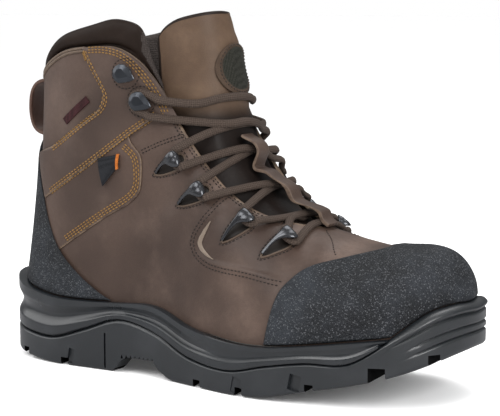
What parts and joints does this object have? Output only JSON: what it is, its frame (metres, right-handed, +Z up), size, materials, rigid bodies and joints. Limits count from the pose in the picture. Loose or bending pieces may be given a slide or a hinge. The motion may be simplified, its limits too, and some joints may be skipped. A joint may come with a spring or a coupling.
{
  "type": "composite toe work boot",
  "caption": "Right ankle-high lace-up work boot: hollow leather upper with rubber toe cap and heel counter, padded collar, tongue and lugged sole.",
  "frame": {"origin": "on the floor under the middle of the boot's box", "axes": "+X from heel to toe, +Y to the inner side of the right foot, +Z up"},
  "size_m": [0.3046, 0.1112, 0.2115],
  "materials": {
    "outsole_rubber": "matt dark grey moulded rubber",
    "midsole_foam": "satin near-black moulded foam",
    "footbed_fabric": "dark knitted footbed cover",
    "brown_leather": "oiled brown leather, satin",
    "panel_leather": "oiled brown leather, satin",
    "cap_rubber": "rough granular blue-black coating",
    "collar_leather": "smooth dark brown leather",
    "tongue_leather": "oiled brown leather, worn warmer at the top",
    "patch_fabric": "plain round patch with a stitched rim",
    "gunmetal": "glossy black-grey metal",
    "lace_fabric": "round woven dark brown lace"
  },
  "bodies": {
    "root": {"outsole": "outsole_rubber", "midsole": "midsole_foam", "insole": "footbed_fabric", "upper": "brown_leather", "ankle_panel_outer": "panel_leather", "ankle_panel_inner": "panel_leather", "toe_cap": "cap_rubber", "heel_counter": "cap_rubber", "collar": "collar_leather", "tongue": "tongue_leather", "tongue_patch": "patch_fabric", "lace_ring_1_outer": "gunmetal", "lace_ring_1_inner": "gunmetal", "lace_ring_2_outer": "gunmetal", "lace_ring_2_inner": "gunmetal", "lace_ring_3_outer": "gunmetal", "lace_ring_3_inner": "gunmetal", "lace_ring_4_outer": "gunmetal", "lace_ring_4_inner": "gunmetal", "lace_hook_1_outer": "gunmetal", "lace_hook_1_inner": "gunmetal", "lace_hook_2_outer": "gunmetal", "lace_hook_2_inner": "gunmetal", "lace_bar_top": "lace_fabric", "lace_crossing_1": "lace_fabric", "lace_crossing_2": "lace_fabric", "lace_crossing_3": "lace_fabric", "lace_crossing_4": "lace_fabric", "lace_keeper": "brown_leather", "pull_loop": "collar_leather"}
  },
  "joints": []
}
